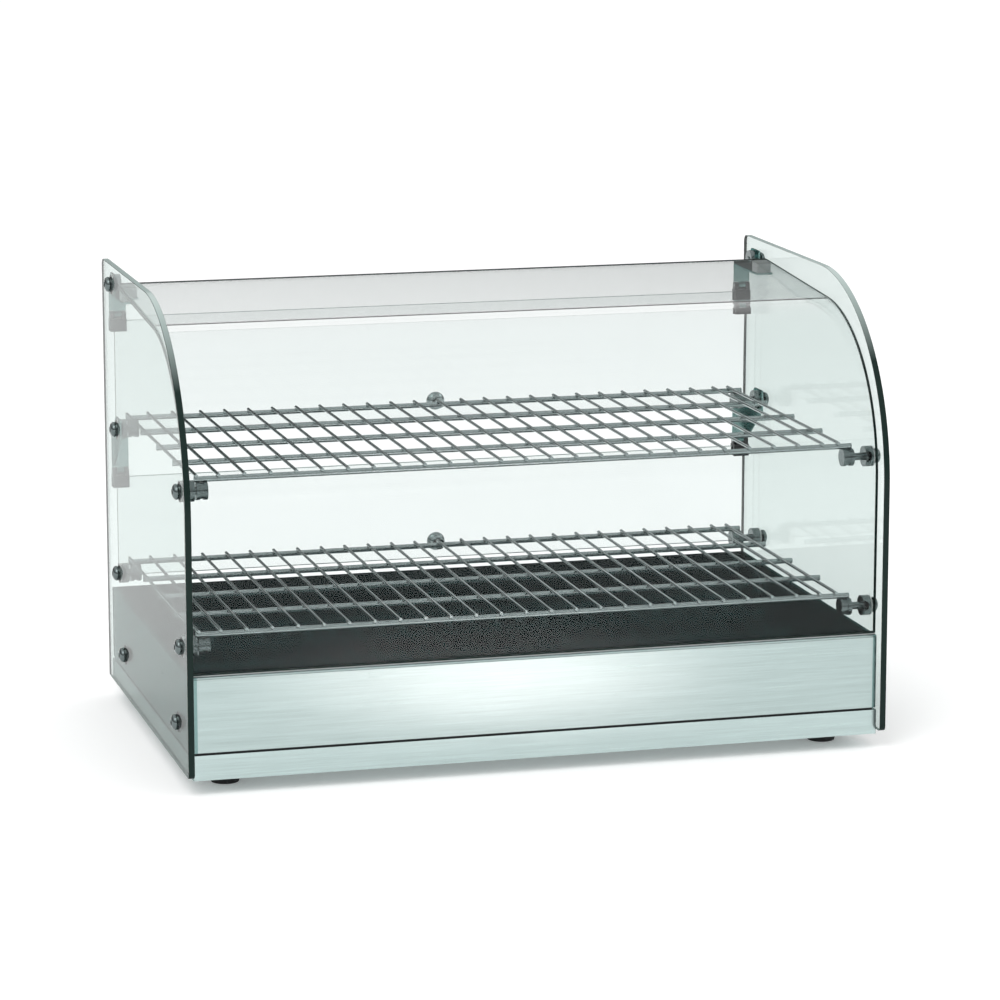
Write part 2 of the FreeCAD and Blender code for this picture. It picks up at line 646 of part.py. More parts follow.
def upper_bracket(side_name, sign):
    """Bracket on the top rear screw: an arm forward under the bent glass and a strap down to the flap."""
    hinge = high("upper_hinge")
    arm = high("arm_level")
    strap, bore = strap_and_eye(sign, hinge, f"{arm} + 5")
    outer = f"{sign}({GLASS_IN} - seal)"
    inner = f"{sign}({GLASS_IN} - seal - strap_width)"
    low, far = (inner, outer) if sign == "" else (outer, inner)
    forward = box((low, ahead("arm_front"), f"{arm} - plate"), (far, OUTER_PLANE, arm), "arm")
    ear = gusset("ear", sign, [
        (ahead("ear_front"), f"{arm} - plate"), (OUTER_PLANE, f"{arm} - plate"), (OUTER_PLANE, f"{arm} + 5"),
        (f"{ahead('top_screw')} + 8", f"{arm} + 18"), (ahead("ear_front"), f"{arm} + 18")])
    hole = screw_hole(sign, ahead("top_screw"), high("top_screw_rise"))
    label = f"hinge_bracket_upper_{side_name}"
    node(cut(join(strap + [forward, ear]), [bore, hole]), label)

    # Rubber pad between the arm and the sloping underside of the glass
    crest = f"({high('front_crest')} - glass / cos(front_slope))"
    body = new_body("pad")
    ends = (ahead("pad_front"), ahead("pad_rear"))
    under = [f"{crest} + ({place} - {FRONT} - front_setback) * tan(front_slope)" for place in ends]
    drawing = sketch(body, "YZ_Plane", f"({low} + {far}) / 2")
    outline(drawing, [(ends[0], arm), (ends[1], arm), (ends[1], under[1]), (ends[0], under[0])])
    pad(body, drawing, "strap_width - 2", midplane=True)
    return body


def lower_bracket(side_name, sign):
    """Bracket on the upper shelf's rear screw: a three-cornered ear and a strap down to the flap."""
    hinge = high("lower_hinge")
    level = high("upper_screw")
    back = ahead("shelf_rear")
    top = f"{high('upper_flap_foot')} - flap_clear"
    strap, bore = strap_and_eye(sign, hinge, top)
    ear = gusset("ear", sign, [
        (f"{back} - 10", f"{level} - 9"), (f"{OUTER_PLANE} - 8", f"{hinge} + 6"),
        (OUTER_PLANE, f"{hinge} + 6"), (OUTER_PLANE, top),
        (f"{back} + 10", f"{level} + 9"), (f"{back} - 10", f"{level} + 9")])
    hole = screw_hole(sign, back, level)
    node(cut(join(strap + [ear]), [bore, hole]), f"hinge_bracket_lower_{side_name}")


def flap(name, hinge_size, foot_size):
    """Glass flap hung on two shoes, with a pin in each shoe and a turned grip near its lower edge."""
    hinge = high(hinge_size)
    foot = high(foot_size)
    near_face = f"({HINGE_Y} - flap_glass / 2)"
    far_face = f"({HINGE_Y} + flap_glass / 2)"
    grip_level = f"({foot} + grip_rise)"
    half_width = f"({GLASS_IN} - flap_end)"
    pane = box((f"-{half_width}", near_face, foot), (half_width, far_face, f"{hinge} - flap_bite"), "pane")
    drill = rod(("0", f"{near_face} - glass", grip_level), "+Y", "grip_hole", "3 * glass", "drill")
    node(cut(pane, [drill]), f"{name}_flap_glass")

    shoes, pins = [], []
    wall = "(flap_glass / 2 + shoe_wall)"
    for sign in ("", "-"):
        middle = f"{sign}({GLASS_IN} - seal - strap_width / 2)"
        half = "(eye_width / 2 + lug_gap + lug_width)"
        inset = f"{middle} - {half}", f"{middle} + {half}"
        block = box((inset[0], f"{HINGE_Y} - {wall}", f"{hinge} - shoe_drop"),
                    (inset[1], f"{HINGE_Y} + {wall}", f"{hinge} - shoe_heel"), "shoe")
        slot = box((f"{middle} - strap_width", near_face, f"{hinge} - 2 * shoe_drop"),
                   (f"{middle} + strap_width", far_face, f"{hinge} - flap_bite"), "slot")
        lugs = []
        for edge in (inset[0], f"{middle} + eye_width / 2 + lug_gap"):
            lugs.append(rod((edge, HINGE_Y, hinge), "+X", "eye_radius", "lug_width", "lug"))
            lugs.append(box((edge, f"{HINGE_Y} - eye_radius", f"{hinge} - shoe_heel - 1"),
                            (f"{edge} + lug_width", f"{HINGE_Y} + eye_radius", hinge), "lug_foot"))
        bore = rod((inset[0], HINGE_Y, hinge), "+X", "pin_radius", f"2 * {half}", "bore")
        shoes.append(cut(join([block] + lugs), [slot, bore], "shoe"))
        pins.append(rod((inset[0], HINGE_Y, hinge), "+X", "pin_radius", f"2 * {half}", "pin"))
    group(f"{name}_flap_shoes", shoes)
    group(f"{name}_flap_pins", pins)

    grip = turned("grip", "XY_Plane", [
        ("grip_bore", "0"), ("0.55 * grip_radius", "0"), ("grip_neck", "0.35 * grip_length"),
        ("grip_radius", "0.7 * grip_length"), ("grip_radius", "0.9 * grip_length"),
        ("0.8 * grip_radius", "grip_length"), ("0", "grip_length"), ("0", "0.7 * grip_length"),
        ("grip_bore", "0.7 * grip_length")], "V_Axis")
    held = placed(grip, ("0", far_face, grip_level))
    group(f"{name}_flap_grip", [held])
    head = rod(("0", near_face, grip_level), "-Y", "grip_screw_head", "grip_screw_rise", "screw_head")
    shank = rod(("0", f"{near_face} - 1", grip_level), "+Y", "grip_bore - thread_play",
                "1 + flap_glass + 0.6 * grip_length", "screw_shank")
    node(join([head, shank]), f"{name}_flap_grip_screw")


# ---------------------------------------------------------------- heater inside the base

def heating_element():
    """Sheathed heating tube bent to and fro below the deck, its two cold ends at the right."""
    level = f"({DECK} - steel - deck_gap - tube_radius)"
    count = int(number("leg_count"))
    tube = []
    for index in range(count):
        back = f"({deep('first_leg')} + {index} * 2 * {TURN})"
        cold_end = "tail" if index in (0, count - 1) else "0"
        length = f"2 * {LEG_END} + {cold_end}"
        tube.append(rod((f"-{LEG_END}", back, level), "+X", "tube_radius", length, "leg"))
    for index in range(count - 1):
        side, angle = ("-", 90) if index % 2 == 0 else ("", -90)
        bend = doc.addObject("Part::Torus", "turn")
        bend.Angle3 = 180
        bend.Placement.Rotation = FreeCAD.Rotation(FreeCAD.Vector(0, 0, 1), angle)
        bind(bend, Radius1=TURN, Radius2="tube_radius", Placement_Base_x=side + LEG_END,
             Placement_Base_y=f"{deep('first_leg')} + {2 * index + 1} * {TURN}", Placement_Base_z=level)
        tube.append(bend)
    node(join(tube), "heating_element")


def element_straps():
    """Steel straps that hang from the deck and carry the heating tube."""
    straps = []
    under = f"{DECK} - steel"
    seat = f"({under} - deck_gap - 2 * tube_radius)"
    margin = "(tube_radius + 3)"
    front, rear = f"({deep('first_leg')} - {margin})", f"({ahead('last_leg')} + {margin})"
    for index in range(int(number("strap_count"))):
        middle = f"(({index} - (strap_count - 1) / 2) * strap_pitch)"
        left, right = f"{middle} - strap_bar / 2", f"{middle} + strap_bar / 2"
        bar = box((left, front, f"{seat} - plate"), (right, rear, seat), "bar")
        front_leg = box((left, f"{front} - plate", f"{seat} - plate"), (right, front, under), "front_leg")
        rear_leg = box((left, rear, f"{seat} - plate"), (right, f"{rear} + plate", under), "rear_leg")
        straps.append(join([bar, front_leg, rear_leg], "strap"))
    group("element_straps", straps)


def trough():
    """Aluminium trough hung under the deck, with the slab of mineral wool lying in it."""
    under = f"({DECK} - steel)"
    floor = f"({under} - trough_depth)"
    front, rear = deep("trough_front"), ahead("trough_rear")
    body = new_body("trough")
    drawing = outline(sketch(body, "YZ_Plane"), [
        (f"{front} - flange", under), (f"{front} - flange", f"{under} - steel"),
        (front, f"{under} - steel"), (front, floor), (rear, floor), (rear, f"{under} - steel"),
        (f"{rear} + flange / 2", f"{under} - steel"), (f"{rear} + flange / 2", under),
        (f"{rear} - steel", under), (f"{rear} - steel", f"{floor} + steel"),
        (f"{front} + steel", f"{floor} + steel"), (f"{front} + steel", under)])
    pad(body, drawing, f"2 * {TROUGH_END}", midplane=True)
    node(body, "reflector_trough")
    wool = box((f"-{TROUGH_END}", f"{front} + steel", f"{floor} + steel"),
               (TROUGH_END, f"{rear} - steel", f"{floor} + steel + wool_depth"), "wool")
    node(wool, "insulation_slab")


def sensors():
    """Thermostat bulb in its clip and the round safety cut-out, both held to the deck's underside."""
    under = f"({DECK} - steel)"
    middle = f"({under} - bulb_radius - 1)"
    back = f"({ahead('trough_rear')} - 20)"
    bulb = rod(("-bulb_length / 2", back, middle), "+X", "bulb_radius", "bulb_length", "bulb")
    node(bulb, "thermostat_bulb")
    clips = []
    for place in ("-bulb_length / 3", "bulb_length / 3"):
        block = box((f"{place} - 4", f"{back} - bulb_radius - 2", f"{middle} - bulb_radius - 1"),
                    (f"{place} + 4", f"{back} + bulb_radius + 2", under), "clip")
        bore = rod((f"{place} - 6", back, middle), "+X", "bulb_radius", "12", "clip_bore")
        clips.append(cut(block, [bore], "clip"))
    group("bulb_clips", clips)
    spot = (f"({LEG_END} + 2 * tube_radius)", f"({deep('first_leg')} + 3 * {TURN})", under)
    can = rod(spot, "-Z", "cutout_radius", "cutout_length", "cutout")
    tabs = [box((f"{spot[0]} - 0.5", f"{spot[1]} {sign} 4 - 3", f"{under} - cutout_length - 7"),
                (f"{spot[0]} + 0.5", f"{spot[1]} {sign} 4 + 3", f"{under} - cutout_length + 1"), "tab")
            for sign in ("-", "+")]
    node(join([can] + tabs), "safety_cutout")


# ---------------------------------------------------------------- controls on the rear panel

def thermostat():
    """Thermostat behind the panel, its neck nutted through it, and the knob on its shaft."""
    inside = f"({PANEL} - steel)"
    place = "-knob_place"
    spot = (place, inside, CONTROLS)
    can = box((f"{place} - body_side / 2", f"{inside} - body_depth", f"{CONTROLS} - body_side / 2"),
              (f"{place} + body_side / 2", inside, f"{CONTROLS} + body_side / 2"), "can")
    neck = rod(spot, "+Y", "neck_radius", "neck_length + steel", "neck")
    bore = rod((place, f"{inside} - body_depth / 2", CONTROLS), "+Y", "shaft_radius + shaft_play",
               "body_depth + neck_length", "bore")
    node(cut(join([can, neck]), [bore]), "thermostat")
    nut = hexagon((place, PANEL, CONTROLS), "+Y", "neck_nut", "neck_nut_length")
    nut_bore = rod((place, PANEL, CONTROLS), "+Y", "neck_radius + thread_play", "neck_nut_length")
    node(cut(nut, [nut_bore]), "thermostat_nut")

    face = f"({PANEL} + neck_length + knob_gap)"
    shaft_start = f"{inside} - body_depth / 2 + knob_gap"
    shaft = rod((place, shaft_start, CONTROLS), "+Y", "shaft_radius",
                f"{face} + 0.6 * knob_length - ({shaft_start})", "shaft")
    node(shaft, "thermostat_shaft")
    knob = turned("knob", "XY_Plane", [
        ("shaft_radius", "0"), ("knob_skirt", "0"), ("knob_skirt", "0.2 * knob_length"),
        ("knob_radius", "0.3 * knob_length"), ("0.94 * knob_radius", "0.92 * knob_length"),
        ("0.86 * knob_radius", "knob_length"), ("0", "knob_length"), ("0", "0.6 * knob_length"),
        ("shaft_radius", "0.6 * knob_length")], "V_Axis")
    held = placed(knob, (place, face, CONTROLS))
    mark = box((f"{place} - 0.8", f"{face} + 0.9 * knob_length", f"{CONTROLS} + 0.25 * knob_radius"),
               (f"{place} + 0.8", f"{face} + knob_length + 0.5", f"{CONTROLS} + 0.8 * knob_radius"), "mark")
    node(join([held, mark]), "thermostat_knob")


def switch():
    """Rocker switch: a bezelled housing through the panel and the rocker on its pin."""
    inside = f"({PANEL} - can_depth)"
    place = "-switch_place"
    face = f"{PANEL} + bezel_rise"
    can = box((f"{place} - can_width / 2", inside, f"{CONTROLS} - can_height / 2"),
              (f"{place} + can_width / 2", face, f"{CONTROLS} + can_height / 2"), "can")
    bezel = box((f"{place} - bezel_width / 2", PANEL, f"{CONTROLS} - bezel_height / 2"),
                (f"{place} + bezel_width / 2", face, f"{CONTROLS} + bezel_height / 2"), "bezel")
    well = rod((f"{place} - rocker_width / 2 - rocker_play", PANEL, CONTROLS), "+X",
               "rocker_radius + rocker_play", "rocker_width + 2 * rocker_play", "well")
    pivot = rod((f"{place} - can_width / 2 + 0.7", PANEL, CONTROLS), "+X",
                "rocker_pin + pin_play", "can_width - 1.4", "pivot")
    node(cut(join([can, bezel]), [well, pivot]), "switch_housing")

    # The rocker rests tilted to its off side. Its back stays inside the round well as it turns.
    body = new_body("rocker")
    drawing = sketch(body, "YZ_Plane", "0")
    half = "rocker_radius * cos(rocker_tilt)"
    outline(drawing, [("ridge", "0"), (f"ridge + {half} * tan(rocker_tilt)", half), ("-rocker_back", half),
                      ("-rocker_back", f"-{half}"), (f"ridge + {half} * tan(rocker_tilt)", f"-{half}")])
    pad(body, drawing, "rocker_width", midplane=True)
    wheel = rod(("-rocker_width / 2", "0", "0"), "+X", "rocker_radius", "rocker_width", "wheel")
    trimmed = doc.addObject("Part::Common", "trimmed")
    trimmed.Base = body
    trimmed.Tool = wheel
    pin = rod(("-rocker_width / 2 - 1.5", "0", "0"), "+X", "rocker_pin", "rocker_width + 3", "rocker_pin")
    rocker = join([trimmed, pin], "rocker")
    tilt = FreeCAD.Rotation(FreeCAD.Vector(1, 0, 0), number("rocker_tilt"))
    group("switch_rocker", [placed(rocker, (place, PANEL, CONTROLS), tilt)])


def lamp():
    """Amber pilot lamp pushed through the panel."""
    place = "-lamp_place"
    lens = turned("lens", "XY_Plane", [
        ("0", "-lamp_length"), ("0.8 * lamp_radius", "-lamp_length"), ("lamp_radius", "-0.8 * lamp_length"),
        ("lamp_radius", "0"), ("lamp_rim", "0"), ("lamp_rim", "1.5"), ("0.8 * lamp_radius", "2.2"),
        ("0.5 * lamp_radius", "3.6"), ("0", "4")], "V_Axis")
    group("pilot_lamp", [placed(lens, (place, PANEL, CONTROLS))])


def gland():
    """Cord gland through the panel, open down its middle, with a lock nut inside."""
    place = "gland_place"
    inside = f"({PANEL} - steel)"
    thread = rod((place, f"{inside} - gland_thread", CONTROLS), "+Y", "gland_radius",
                 "gland_thread + steel", "thread")
    collar = hexagon((place, PANEL, CONTROLS), "+Y", "gland_hex", "gland_hex_length / 2")
    cap = turned("cap", "XY_Plane", [
        ("0", "0"), ("gland_hex * 0.85", "0"), ("gland_hex * 0.85", "gland_hex_length * 0.6"),
        ("cord_bore + 3", "gland_dome"), ("0", "gland_dome")], "V_Axis")
    dome = placed(cap, (place, f"{PANEL} + gland_hex_length / 2", CONTROLS))
    bore = rod((place, f"{inside} - 2 * gland_thread", CONTROLS), "+Y", "cord_bore",
               "4 * gland_thread + gland_dome", "cord_bore")
    node(cut(join([thread, collar, dome]), [bore]), "cord_gland")
    blank = hexagon((place, inside, CONTROLS), "-Y", "gland_nut", "gland_hex_length / 2")
    tapped = rod((place, inside, CONTROLS), "-Y", "gland_radius + thread_play", "gland_hex_length")
    node(cut(blank, [tapped]), "gland_nut")


def terminal_block():
    """Heat-proof block for the supply wires, standing on the tray's floor by the gland."""
    floor = "foot_height + steel"
    left, right = "gland_place - 55", "gland_place - 15"
    front, rear = f"{PANEL} - 40", f"{PANEL} - 24"
    block = box((left, front, floor), (right, rear, f"{floor} + 16"), "block")
    middle = f"({front} + {rear}) / 2"
    wells = [rod((f"{left} + {offset}", middle, f"{floor} + 8"), "+Z", "2.2", "12", "well")
             for offset in (8, 20, 32)]
    node(cut(block, wells), "terminal_block")


tray()
gasket()
cover()
side_panel("side_panel_left", "-1")
side_panel("side_panel_right", "1")
rear_panel()
panel_fixings()
feet()
side_glass("side_glass_left", "-1")
side_glass("side_glass_right", "1")
front_glass()
glass_fixings()
shelf("lower_shelf", "lower_screw")
shelf("upper_shelf", "upper_screw")
pads = []
for side_name, sign in (("left", "-"), ("right", "")):
    pads.append(upper_bracket(side_name, sign))
    lower_bracket(side_name, sign)
group("glass_rest_pads", pads)
flap("upper", "upper_hinge", "upper_flap_foot")
flap("lower", "lower_hinge", "lower_flap_foot")
heating_element()
element_straps()
trough()
sensors()
thermostat()
switch()
lamp()
gland()
terminal_block()
doc.recompute()

faults = [f"{thing.Name} {thing.State}" for thing in doc.Objects
          if any(word in thing.State for word in ("Invalid", "Error"))]
for thing in nodes:
    if thing.Shape.isNull() or not thing.Shape.isValid() or not thing.Shape.Solids:
        faults.append(f"{thing.Label} has a bad shape")
if faults:
    raise RuntimeError("; ".join(faults))

os.makedirs("parts", exist_ok=True)
for thing in nodes:
    thing.Shape.exportStep(f"parts/{thing.Label}.step")
print(f"{len(nodes)} nodes written")
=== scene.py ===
import bpy
import math
from mathutils import Matrix, Vector


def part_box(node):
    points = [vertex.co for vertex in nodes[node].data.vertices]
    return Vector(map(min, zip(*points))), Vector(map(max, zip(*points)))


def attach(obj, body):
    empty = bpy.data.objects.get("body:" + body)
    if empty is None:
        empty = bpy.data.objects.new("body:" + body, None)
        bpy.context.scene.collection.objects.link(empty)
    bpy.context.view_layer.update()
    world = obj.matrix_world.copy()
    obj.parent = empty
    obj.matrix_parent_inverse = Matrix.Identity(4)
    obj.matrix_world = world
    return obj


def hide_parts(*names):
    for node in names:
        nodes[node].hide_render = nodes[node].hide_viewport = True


# Hot food display case for a counter: a brushed stainless base with a heater in it, two flat glass
# sides, one bent glass over the front and top, two chromed wire shelves and a glass flap behind each.
# +X is the customer's right-hand end, +Y the operator's side and +Z is up, in metres.

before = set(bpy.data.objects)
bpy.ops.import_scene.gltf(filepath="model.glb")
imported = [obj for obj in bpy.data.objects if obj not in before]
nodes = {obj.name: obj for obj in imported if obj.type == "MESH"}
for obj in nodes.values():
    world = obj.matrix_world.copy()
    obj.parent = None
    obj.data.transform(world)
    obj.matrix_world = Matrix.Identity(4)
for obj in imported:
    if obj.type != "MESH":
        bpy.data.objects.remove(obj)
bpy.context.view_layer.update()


# ------------------------------------------------------------------ view, counter and light
# A pale counter that runs out of sight, a large soft light overhead to the left, a weaker one to
# the right, and a pool of light on the counter in front, which shows as the bright band across the
# brushed front panel. The room is bright above, dimmer near the horizon and dark low down behind the
# case, where the deck mirrors it.
camera_data = bpy.data.cameras.new("camera")
camera_data.lens = 146.55
camera_data.sensor_width = 36
camera_data.clip_end = 200
camera = bpy.data.objects.new("camera", camera_data)
camera.location = (-0.85324, -3.17482, 0.84455)
camera.rotation_euler = (math.radians(90 - 11.313), 0, math.radians(-15.2375))
bpy.context.collection.objects.link(camera)
bpy.context.scene.camera = camera
bpy.context.scene.view_settings.view_transform = "Standard"

bpy.ops.object.select_all(action="DESELECT")
bpy.ops.mesh.primitive_plane_add(size=80, location=(0, 0, 0))
counter = bpy.context.object
counter.name = "counter"
counter_paint = bpy.data.materials.new("pale_counter")
counter_paint.use_nodes = True
counter_shader = counter_paint.node_tree.nodes["Principled BSDF"].inputs
counter_shader["Base Color"].default_value = (0.94, 0.94, 0.94, 1)
counter_shader["Roughness"].default_value = 0.9
counter_shader["Specular IOR Level"].default_value = 0.0
counter_shader["Emission Color"].default_value = (1, 1, 1, 1)
counter_shader["Emission Strength"].default_value = 0.17
counter.data.materials.append(counter_paint)

for name, place, size, power in (("soft_left", (-1.6, -1.6, 2.6), 2.2, 34),
                                 ("soft_right", (2.4, -0.4, 1.7), 1.4, 9)):
    light_data = bpy.data.lights.new(name, "AREA")
    light_data.size = size
    light_data.energy = power
    light = bpy.data.objects.new(name, light_data)
    light.location = place
    light.rotation_euler = (Vector(place) - Vector((0, 0, 0.15))).to_track_quat("Z", "Y").to_euler()
    bpy.context.collection.objects.link(light)

pool_data = bpy.data.lights.new("counter_pool", "SPOT")
pool_data.energy = 640
pool_data.color = (1.0, 0.80, 0.80)
pool_data.spot_size = math.radians(8.5)
pool_data.spot_blend = 1.0
pool_data.shadow_soft_size = 0.05
pool = bpy.data.objects.new("counter_pool", pool_data)
pool.location = (0.05, -0.52, 3.0)
bpy.context.collection.objects.link(pool)


class Shade:
    """A value in a material. Arithmetic on it adds Math nodes, and node() adds any other node."""

    def __init__(self, tree, socket=None):
        self.tree = tree
        self.socket = socket

    def node(self, kind, settings=None, sockets=None, output=0):
        made = self.tree.nodes.new(kind)
        for name, value in (settings or {}).items():
            if name == "stops":
                ramp = made.color_ramp.elements
                while len(ramp) < len(value):
                    ramp.new(0.5)
                for stop, (place, colour) in zip(ramp, value):
                    stop.position = place
                    stop.color = colour
            else:
                setattr(made, name, value)
        for name, value in (sockets or {}).items():
            if isinstance(value, Shade):
                self.tree.links.new(value.socket, made.inputs[name])
            else:
                made.inputs[name].default_value = value
        return Shade(self.tree, made.outputs[output])

    def into(self, shader, name):
        self.tree.links.new(self.socket, shader.inputs[name])

    def maths(self, operation, first, second):
        return self.node("ShaderNodeMath", {"operation": operation}, {0: first, 1: second})

    def __add__(self, other):
        return self.maths("ADD", self, other)

    def __sub__(self, other):
        return self.maths("SUBTRACT", self, other)

    def __rsub__(self, other):
        return self.maths("SUBTRACT", other, self)

    def __mul__(self, other):
        return self.maths("MULTIPLY", self, other)

    def __lt__(self, other):
        return self.maths("LESS_THAN", self, other)

    def __gt__(self, other):
        return self.maths("GREATER_THAN", self, other)

    __radd__ = __add__
    __rmul__ = __mul__


room = bpy.data.worlds.new("room")
room.use_nodes = True
bpy.context.scene.world = room
sky = Shade(room.node_tree)
way = sky.node("ShaderNodeTexCoord", output="Generated")
height = sky.node("ShaderNodeSeparateXYZ", {}, {"Vector": way}, 2)
behind = sky.node("ShaderNodeSeparateXYZ", {}, {"Vector": way}, 1)
open_room = sky.node("ShaderNodeValToRGB", {"stops": [
    (0.0, (0.5, 0.5, 0.5, 1)), (0.26, (0.45, 0.45, 0.45, 1)),
    (0.42, (0.95, 0.95, 0.95, 1))]}, {"Fac": height})
back_wall = sky.node("ShaderNodeValToRGB", {"stops": [
    (0.0, (0.30, 0.30, 0.30, 1)), (0.12, (0.04, 0.05, 0.05, 1)), (0.25, (0.04, 0.05, 0.05, 1)),
    (0.31, (0.95, 0.95, 0.95, 1))]}, {"Fac": height})
toward_wall = sky.node("ShaderNodeMapRange", {}, {"Value": behind, "From Min": 0.35, "From Max": 0.75})
sky.node("ShaderNodeMix", {"data_type": "RGBA"}, {0: toward_wall, 6: open_room, 7: back_wall}, 2).into(
    room.node_tree.nodes["Background"], "Color")
room.node_tree.nodes["Background"].inputs["Strength"].default_value = 1.05


# ------------------------------------------------------------------ stainless sheet
# Tray, deck and front panel, end plates and rear panel are folded from brushed stainless sheet. The
# grain was rolled in along the sheet, and handling leaves faint smears that change only the gloss.
def finish_named(name, **constants):
    """A new material, its main shader with these constants set, and a Shade to build nodes on."""
    material = bpy.data.materials.new(name)
    material.use_nodes = True
    shader = material.node_tree.nodes["Principled BSDF"]
    for socket, value in constants.items():
        shader.inputs[socket.replace("_", " ")].default_value = value
    return material, shader, Shade(material.node_tree)


def mixed(shade, amount, first, second):
    """A colour between two others."""
    return shade.node("ShaderNodeMix", {"data_type": "RGBA"}, {0: amount, 6: first, 7: second}, 2)


def noise(shade, scale, detail=3.0, stretch=(1, 1, 1), roughness=0.5):
    """Even noise on the piece's own coordinates, pulled out along an axis by a small stretch there."""
    place = shade.node("ShaderNodeTexCoord", output="Object")
    place = shade.node("ShaderNodeMapping", {}, {"Vector": place, "Scale": stretch})
    return shade.node("ShaderNodeTexNoise", {}, {"Vector": place, "Scale": scale, "Detail": detail,
                                                 "Roughness": roughness})


def bumped(shade, strength, distance, height, shader):
    """Relief of this height on the shader."""
    shade.node("ShaderNodeBump", {}, {"Strength": strength, "Distance": distance, "Height": height}).into(
        shader, "Normal")


def brushed_stainless(name, stretch, tone, dull=0.24, rim=(0.6, 0.7, 0.69), painted_deck_start=None, shaded_end_line=None):
    """Brushed sheet whose grain runs along the axis with the small stretch. Where the surface is above
    and behind a given place, given as Y and Z, it is smoother and painted dark, painted shade and a
    painted dark reflection.
    Beyond a given distance to either side it is painted as dark as the end plates, painted shade."""
    material, shader, shade = finish_named(name, Metallic=1.0, Specular_Tint=rim + (1,))
    place = shade.node("ShaderNodeTexCoord", output="Object")
    fine = noise(shade, 1100, 4, stretch, 0.7)
    broad = noise(shade, 420, 4, stretch, 0.75)
    smears = noise(shade, 11, 4, (1, 1, 1), 0.65)
    grain = (fine * 0.5 + broad * 0.5) * 2.0 - 0.5
    dark = tuple(part * 0.80 for part in tone) + (1,)
    light = tuple(min(1.0, part * 1.20) for part in tone) + (1,)
    sheet = mixed(shade, grain, dark, light)
    gloss = grain * 0.12 + smears * 0.10 + (dull - 0.11)
    # The tray's ends are painted the end plates' darker tone: painted shade.
    if shaded_end_line:
        across = shade.node("ShaderNodeSeparateXYZ", {}, {"Vector": place}, 0)
        on_end = shade.maths("ABSOLUTE", across, 0.0) > shaded_end_line
        painted_end_shade = mixed(shade, grain, (0.22, 0.28, 0.27, 1), (0.31, 0.39, 0.38, 1))
        sheet = mixed(shade, on_end, sheet, painted_end_shade)
    # Above and behind that place the deck is painted dark: painted shade and a painted dark reflection.
    if painted_deck_start:
        back = shade.node("ShaderNodeSeparateXYZ", {}, {"Vector": place}, 1)
        level = shade.node("ShaderNodeSeparateXYZ", {}, {"Vector": place}, 2)
        painted_reflection_tone = mixed(shade, smears, (0.12, 0.165, 0.165, 1), (0.26, 0.34, 0.34, 1))
        on_deck = (back > painted_deck_start[0]) * (level > painted_deck_start[1])
        sheet = mixed(shade, on_deck, sheet, painted_reflection_tone)
        gloss = gloss * (1 - on_deck) + on_deck * (smears * 0.08 + 0.05)
        grain = grain * (1 - on_deck)
    sheet.into(shader, "Base Color")
    gloss.into(shader, "Roughness")
    bumped(shade, 0.10, 0.0002, grain, shader)
    return material


front_steel = (0.42, 0.51, 0.50)
deck_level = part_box("base_cover")[1][2]
glass_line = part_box("front_glass")[0][1]
along_x = brushed_stainless("stainless_grain_across", (0.02, 1, 1), (0.48, 0.58, 0.57))
# The deck behind the front glass is painted dark: painted shade and a painted dark reflection.
nodes["base_cover"].data.materials[0] = brushed_stainless(
    "stainless_deck_painted_dark", (0.02, 1, 1), front_steel, rim=(0.30, 0.38, 0.38),
    painted_deck_start=(glass_line, deck_level - 0.0006))
nodes["base_tray"].data.materials[0] = brushed_stainless(
    "stainless_tray", (0.02, 1, 1), (0.47, 0.57, 0.56), shaded_end_line=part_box("base_tray")[1][0] - 0.0005)
nodes["rear_panel"].data.materials[0] = along_x
# The end plates, hinge brackets and cleats take a darker tone of the same sheet: painted shade on the sides
# turned from the light.
side_steel_painted_shade = brushed_stainless("stainless_grain_fore_and_aft_painted_shade", (1, 0.02, 1), (0.205, 0.32, 0.31),
                            rim=(0.22, 0.32, 0.31))
for name in ("side_panel_left", "side_panel_right", "hinge_bracket_upper_left", "hinge_bracket_upper_right",
             "hinge_bracket_lower_left", "hinge_bracket_lower_right", "panel_cleats"):
    nodes[name].data.materials[0] = side_steel_painted_shade


# ------------------------------------------------------------------ rubber and silicone
# Moulded black rubber makes the feet, the seam between tray and deck and the spacers behind the
# side glass. Clear grey silicone washers and pads keep the steel off the glass.
def soft_rubber(name, tone, dull):
    material, shader, shade = finish_named(name, Specular_IOR_Level=0.35)
    bloom = noise(shade, 90, 5, (1, 1, 1), 0.7)
    pores = noise(shade, 2600, 2)
    bloomed = tuple(part * 1.6 + 0.006 for part in tone) + (1,)
    mixed(shade, bloom, tone + (1,), bloomed).into(shader, "Base Color")
    (bloom * 0.2 + (dull - 0.1)).into(shader, "Roughness")
    bumped(shade, 0.25, 0.0003, pores, shader)
    return material


black_rubber = soft_rubber("black_rubber_moulded", (0.012, 0.012, 0.013), 0.62)
grey_silicone = soft_rubber("grey_silicone", (0.34, 0.36, 0.36), 0.42)
for name in ("rubber_feet", "base_gasket", "base_spacers"):
    nodes[name].data.materials[0] = black_rubber
for name in ("glass_seals", "glass_rest_pads"):
    nodes[name].data.materials[0] = grey_silicone
nodes["front_glass_strip"].data.materials[0] = grey_silicone


# ------------------------------------------------------------------ glass
# Toughened float glass, cut, ground and polished. The faces are clear with a faint green cast, and
# the ground edges look almost black-green, because light runs a long way through the sheet. Edges
# that face upward are painted light grey-green, a painted reflection of the bright room above.
def clear_glass(name, bend, tint):
    """Clear faces that take on the sheet's green-grey tint where they are seen aslant."""
    material, shader, shade = finish_named(name, Transmission_Weight=1.0, IOR=bend, Roughness=0.0)
    film = noise(shade, 14, 4, (1, 1, 1), 0.6)
    slant = shade.node("ShaderNodeLayerWeight", {}, {"Blend": 0.5}, 1)
    clear = mixed(shade, film, (0.855, 0.883, 0.878, 1), (0.875, 0.902, 0.897, 1))
    mixed(shade, slant * slant * 1.7, clear, tint + (1,)).into(shader, "Base Color")
    return material


